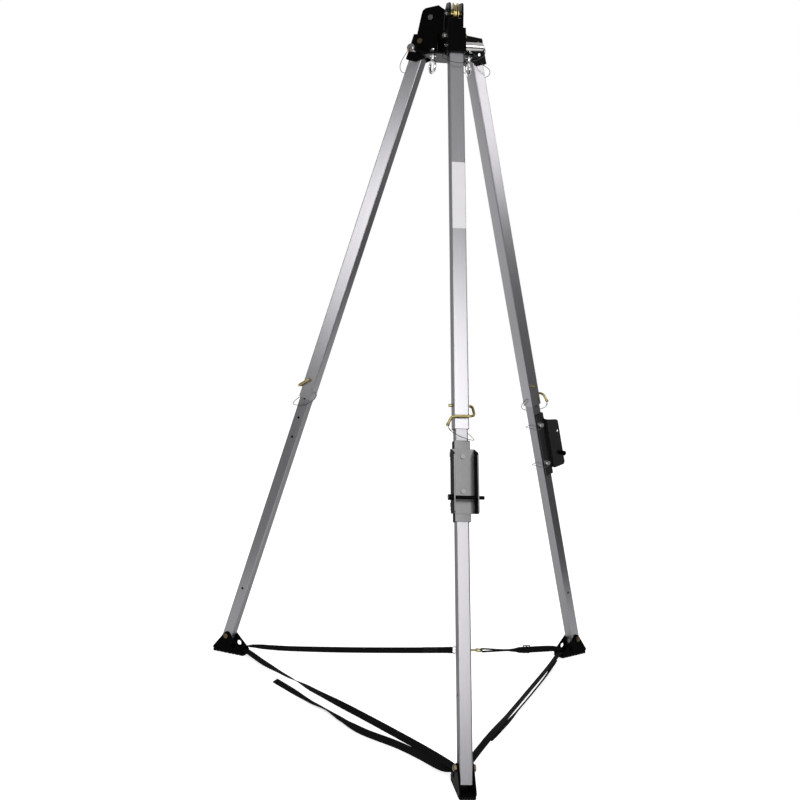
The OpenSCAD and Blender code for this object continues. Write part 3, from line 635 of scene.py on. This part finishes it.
def flat(x, y, z):
    """World point from plan coordinates about the axis, in mm."""
    return Vector((x, y + AXIS_Y, z)) * MM


def loop(leg, hand):
    """Points and width directions of the turn round a foot's cross rod."""
    out, beside = to_foot(leg)
    spots, ways = [], []
    for r, t, z, degrees, lift in ROD_TURN:
        turned = math.radians(degrees * hand)
        spots.append(plan(leg, ROD_R + r, t * hand, STRAP_Z + z))
        way = out * math.sin(turned) + beside * math.cos(turned) + Vector((0, 0, lift))
        ways.append(way.normalized())
    return spots, ways


def ribbon(name, rows, start):
    """Webbing along rows of (point, width direction), start metres along its run."""
    points, faces, along = [], [], [start]
    size = len(SECTION)
    for i, (centre, wide) in enumerate(rows):
        ahead = (rows[min(i + 1, len(rows) - 1)][0] - rows[max(i - 1, 0)][0]).normalized()
        wide = (wide - ahead * wide.dot(ahead)).normalized()
        thick = ahead.cross(wide)
        points += [centre + wide * w * MM + thick * h * MM for w, h in SECTION]
        if i:
            along.append(along[-1] + (centre - rows[i - 1][0]).length)
            low = (i - 1) * size
            faces += [(low + k, low + size + k, low + size + (k + 1) % size, low + (k + 1) % size)
                      for k in range(size)]
    faces.append(tuple(range(size)))
    faces.append(tuple(range(len(points) - 1, len(points) - size - 1, -1)))
    made = piece(name, points, faces, webbing)
    layer = made.data.uv_layers.new(name="weave")
    for corner in made.data.loops:
        row, column = divmod(corner.vertex_index, size)
        layer.data[corner.index].uv = (SECTION[column][0] * MM, along[row])
    return made


def woven(spots, ways):
    """Even rows of (point, width direction) through a strap's route."""
    rows = []
    for point, place in through(spots, WEB_STEP):
        low = min(int(place), len(ways) - 2)
        share = place - low
        rows.append((point, ways[low].lerp(ways[low + 1], share * share * (3 - 2 * share)).normalized()))
    return rows


# Left and right straps: the left one is sewn round the ring, and the right one round the hook.
# Each runs to its own rear foot, round the rod there and on to the rod of the front foot.
UPRIGHT, LAID = Vector((0, 0, 1)), Vector((0, 1, -0.1))
EDGE, TILT, LEVEL = (-0.59, 0.37, -0.71), (-0.79, 0.48, -0.37), (-0.84, 0.51, 0.1)
STILL_SHARE, SWING_SHARE = 0.45, 0.68
TILT_BEFORE, LOOP_HALF, TILT_AFTER, SLIDE_AFTER, SWING_AFTER = 0.11, 0.05, 0.15, 0.34, 0.58
FRONT_SLIDE, FRONT_TILT, FRONT_LOOP = 0.42, 0.16, 0.04
left_turn, left_wide = loop("left", -1)
left_spots = [flat(74, BACK_Y + 2.2, 24.2), flat(150, BACK_Y + 2.2, 25.3), flat(186, BACK_Y + 3.4, 26),
              flat(197, BACK_Y + 4.9, 26), flat(202, BACK_Y, 26), flat(197, BACK_Y - 4.9, 26),
              flat(184, BACK_Y - 2.8, 26), flat(140, BACK_Y - 0.3, 25), flat(60, BACK_Y, 24),
              flat(-240, BACK_Y, 23), flat(-500, BACK_Y + 4, 26), flat(-585, BACK_Y + 8, 30)]
left_ways = [UPRIGHT] * 9 + [Vector((0, -0.1, 1)), Vector((0, -0.3, 1)), Vector((0, -0.4, 0.9))]
left_spots += left_turn
left_ways += left_wide
left_spots += [flat(-590, 226, 20), flat(-512, 86, 22), flat(-410, -84, 25), flat(-285, -284, 29),
               flat(-130, -546, 34), plan("front", ROD_R - 42, -24, 35), plan("front", ROD_R - 8, -5, 31.4),
               plan("front", ROD_R, -1, 31.4)]
left_ways += [Vector(w) for w in ((-0.8, -0.47, -0.3), (-0.84, -0.48, 0.2), (-0.26, -0.15, 0.95),
                                  (0.26, 0.15, 0.95), (0.43, 0.25, 0.86), (0.8, 0.4, 0.4), (1, 0.1, 0),
                                  (1, 0, 0))]
right_turn, right_wide = loop("right", 1)
right_spots = [flat(446, BACK_Y + 3.6, 27.8), flat(418, BACK_Y + 2.6, 27.2), flat(390, BACK_Y + 2, 28.6),
               flat(340, BACK_Y + 1, 31.6), flat(326, BACK_Y + 0.4, 31.3), flat(320.6, BACK_Y, 26),
               flat(326, BACK_Y - 0.4, 20.7), flat(340, BACK_Y, 21), flat(390, BACK_Y + 1.6, 23.4),
               flat(430, BACK_Y + 3, 25.4), flat(465, BACK_Y + 4, 26), flat(504, BACK_Y + 6, 27),
               flat(588, BACK_Y + 9, 31)]
right_ways = [LAID] * 10 + [Vector((0, 0.9, 0.2)), Vector((0, 0.3, 1)), Vector((0, 0.4, 0.9))]
right_spots += right_turn
right_ways += right_wide
right_spots += [flat(570, 206, 23), flat(430, -38, 26), flat(290, -282, 30), flat(140, -540, 34),
                plan("front", ROD_R - 42, 24, 22), plan("front", ROD_R - 8, 5, 20.6),
                plan("front", ROD_R, 1, 20.6)]
right_ways += [Vector(w) for w in (TILT, TILT, TILT, LEVEL, (-1, 0.2, 0.1), (-1, 0.1, 0), (-1, 0, 0))]
for name, spots, ways, far in (("strap_left", left_spots, left_ways, "left"),
                               ("strap_right", right_spots, right_ways, "right")):
    rows = woven(spots, ways)
    run = [0.0]
    for a, b in zip(rows, rows[1:]):
        run.append(run[-1] + (b[0] - a[0]).length)
    total = run[-1]
    rod = plan(far, ROD_R, 0, STRAP_Z)
    turn_at = run[min(range(len(rows)), key=lambda i: (rows[i][0] - rod).length)]
    cuts = (("a_head", 0.0, "head", None),
            ("b_swing", turn_at * STILL_SHARE, "head", "upper_" + far),
            ("c_slide", turn_at * SWING_SHARE, "upper_" + far, "lower_" + far),
            ("d_tilt", turn_at - TILT_BEFORE, "lower_" + far, "foot_" + far),
            ("e_loop", turn_at - LOOP_HALF, "foot_" + far, None),
            ("f_tilt", turn_at + LOOP_HALF, "foot_" + far, "lower_" + far),
            ("g_slide", turn_at + TILT_AFTER, "lower_" + far, "upper_" + far),
            ("h_swing", turn_at + SLIDE_AFTER, "upper_" + far, "head"),
            ("i_swing", turn_at + SWING_AFTER, "head", "upper_front"),
            ("j_slide", total - FRONT_SLIDE, "upper_front", "lower_front"),
            ("k_tilt", total - FRONT_TILT, "lower_front", "foot_front"),
            ("l_loop", total - FRONT_LOOP, "foot_front", None))
    edges = [min(range(len(rows)), key=lambda i: abs(run[i] - cut[1])) for cut in cuts] + [len(rows) - 1]
    for (cut, _, body, next_body), low, high in zip(cuts, edges, edges[1:]):
        part = ribbon(name + "_" + cut, rows[low:high + 1], run[low])
        if next_body:
            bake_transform(part)
        else:
            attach(part, body)
        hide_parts(name)

# Second layer: a second run of webbing beside the right strap, between the right and the front foot.
# It is the same woven band, and stands more on edge than the first layer.
second_spots = [flat(610.2, 277.5, 19), flat(545, 130, 25), flat(432, -70, 25), flat(326, -250, 26),
                flat(222, -425, 29), flat(147, -535, 31)]
second_ways = [Vector(w) for w in ((-0.82, 0.5, -0.19), EDGE, EDGE, EDGE, TILT, LEVEL)]
second = ribbon("strap_right_second_layer", woven(second_spots, second_ways), 0.0)
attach(second, "head")

# Strap tail: the loose end of the webbing, which leaves the rod of the front foot between the two straps.
# It comes down to the ground beside the left strap, twisting as it goes, and is cut off square.
tail_spots = [plan("front", ROD_R - 6, -3, 26), plan("front", ROD_R - 21, -16, 25.5), flat(-44, -729, 22),
              flat(-100, -641, 21.6), flat(-161, -553, 20), flat(-270, -425, 15), flat(-325, -318, 9),
              flat(-372, -222, 7), flat(-424, -142, 4.5), flat(-500, -12, 5.2), flat(-550, 73, 5.6)]
tail_ways = [Vector(w) for w in ((1, 0.05, 0), (0.9, 0.3, 0.2), (0.75, 0.43, 0.5), (0.5, 0.3, 0.8),
                                 (0.5, 0.3, 0.8), (0.55, 0.32, 0.75), (0.85, 0.49, 0.05), (0.8, 0.46, -0.36),
                                 (0.85, 0.49, -0.12), (0.81, 0.47, 0.3), (0.8, 0.46, 0.36))]
tail_rows = woven(tail_spots, tail_ways)
tail = ribbon("strap_tail_web", tail_rows, 0.0)
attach(tail, "foot_front")
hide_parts("strap_tail")

# Seams: the strap's folded ends are sewn with a crossed box of thread, one at the ring and one at the hook.
# The stitches are laid along the seam's lines by Geometry Nodes and become one plain mesh.
STITCH_GAP, STITCH_LONG, THREAD, THREAD_SIDES = 4.0, 2.9, 0.38, 6
SEAM_HALF = 8.6
RING_SEAM, HOOK_SEAM = (80, 136), (421, 443)
CROSSED_BOX = (0, 1, 1, 2, 2, 3, 3, 0, 0, 2, 1, 3)
thread = metal("sewing_thread", dark=(0.025, 0.025, 0.026), light=(0.05, 0.05, 0.052),
               rough=0.7, spread=0.05, bump=0.0, grain=600, metallic=0.0, shine=0.2)
seam = bpy.data.node_groups.new("crossed_box_seam", "GeometryNodeTree")
seam.interface.new_socket("Seam Lines", in_out="INPUT", socket_type="NodeSocketGeometry")
for size_name in ("Stitch Gap", "Stitch Length", "Thread Radius"):
    seam.interface.new_socket(size_name, in_out="INPUT", socket_type="NodeSocketFloat")
seam.interface.new_socket("Stitches", in_out="OUTPUT", socket_type="NodeSocketGeometry")
seam_in = seam.nodes.new("NodeGroupInput")
seam_out = seam.nodes.new("NodeGroupOutput")
line = seam.nodes.new("GeometryNodeMeshToCurve")
places = seam.nodes.new("GeometryNodeCurveToPoints")
places.mode = "LENGTH"
stitch = seam.nodes.new("GeometryNodeMeshCylinder")
stitch.inputs["Vertices"].default_value = THREAD_SIDES
spread = seam.nodes.new("GeometryNodeInstanceOnPoints")
real = seam.nodes.new("GeometryNodeRealizeInstances")
paint = seam.nodes.new("GeometryNodeSetMaterial")
paint.inputs["Material"].default_value = thread
for start, end in ((seam_in.outputs["Seam Lines"], line.inputs["Mesh"]),
                   (line.outputs["Curve"], places.inputs["Curve"]),
                   (seam_in.outputs["Stitch Gap"], places.inputs["Length"]),
                   (seam_in.outputs["Stitch Length"], stitch.inputs["Depth"]),
                   (seam_in.outputs["Thread Radius"], stitch.inputs["Radius"]),
                   (places.outputs["Points"], spread.inputs["Points"]),
                   (stitch.outputs["Mesh"], spread.inputs["Instance"]),
                   (places.outputs["Rotation"], spread.inputs["Rotation"]),
                   (spread.outputs["Instances"], real.inputs["Geometry"]),
                   (real.outputs["Geometry"], paint.inputs["Geometry"]),
                   (paint.outputs["Geometry"], seam_out.inputs["Stitches"])):
    seam.links.new(start, end)
for name, (near, far), start, end, across in (
        ("seam_ring_front", RING_SEAM, flat(60, BACK_Y - 0.95, 24), flat(140, BACK_Y - 1.25, 25), UPRIGHT),
        ("seam_ring_back", RING_SEAM, flat(74, BACK_Y + 3.15, 24.2), flat(143, BACK_Y + 3.15, 25.2), UPRIGHT),
        ("seam_hook", HOOK_SEAM, flat(399, BACK_Y + 3, 27.7), flat(446, BACK_Y + 3, 28.7), LAID)):
    corners = []
    for x, half in ((near, -SEAM_HALF), (far, -SEAM_HALF), (far, SEAM_HALF), (near, SEAM_HALF)):
        share = (x * MM - start.x) / (end.x - start.x)
        corners.append(start.lerp(end, share) + across * half * MM)
    lines = bpy.data.meshes.new(name)
    ends = [tuple(corners[k]) for k in CROSSED_BOX]
    lines.from_pydata(ends, [(k, k + 1) for k in range(0, len(ends), 2)], [])
    sewn = bpy.data.objects.new(name, lines)
    scene.collection.objects.link(sewn)
    sew = sewn.modifiers.new("sew", "NODES")
    sew.node_group = seam
    sizes = {"Stitch Gap": STITCH_GAP * MM, "Stitch Length": STITCH_LONG * MM, "Thread Radius": THREAD * MM}
    for item in seam.interface.items_tree:
        if item.in_out == "INPUT" and item.name in sizes:
            sew[item.identifier] = sizes[item.name]
    made = bpy.data.meshes.new_from_object(sewn.evaluated_get(bpy.context.evaluated_depsgraph_get()))
    sewn.modifiers.remove(sew)
    sewn.data = made
    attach(sewn, "head")

# Strap closure: a chrome ring that the left strap is sewn to, a plated snap hook on the right strap,
# and a plain steel slider that sets its length.
dress(["strap_ring"], chrome)
dress(["strap_slider"], dull_steel)
soften(["strap_slider"], RIM_EDGE)
dress(["strap_hook"], yellow_zinc)

# Bounds of the dressed model, leaving out the floor and hidden solids.
bpy.context.view_layer.update()
low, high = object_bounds()
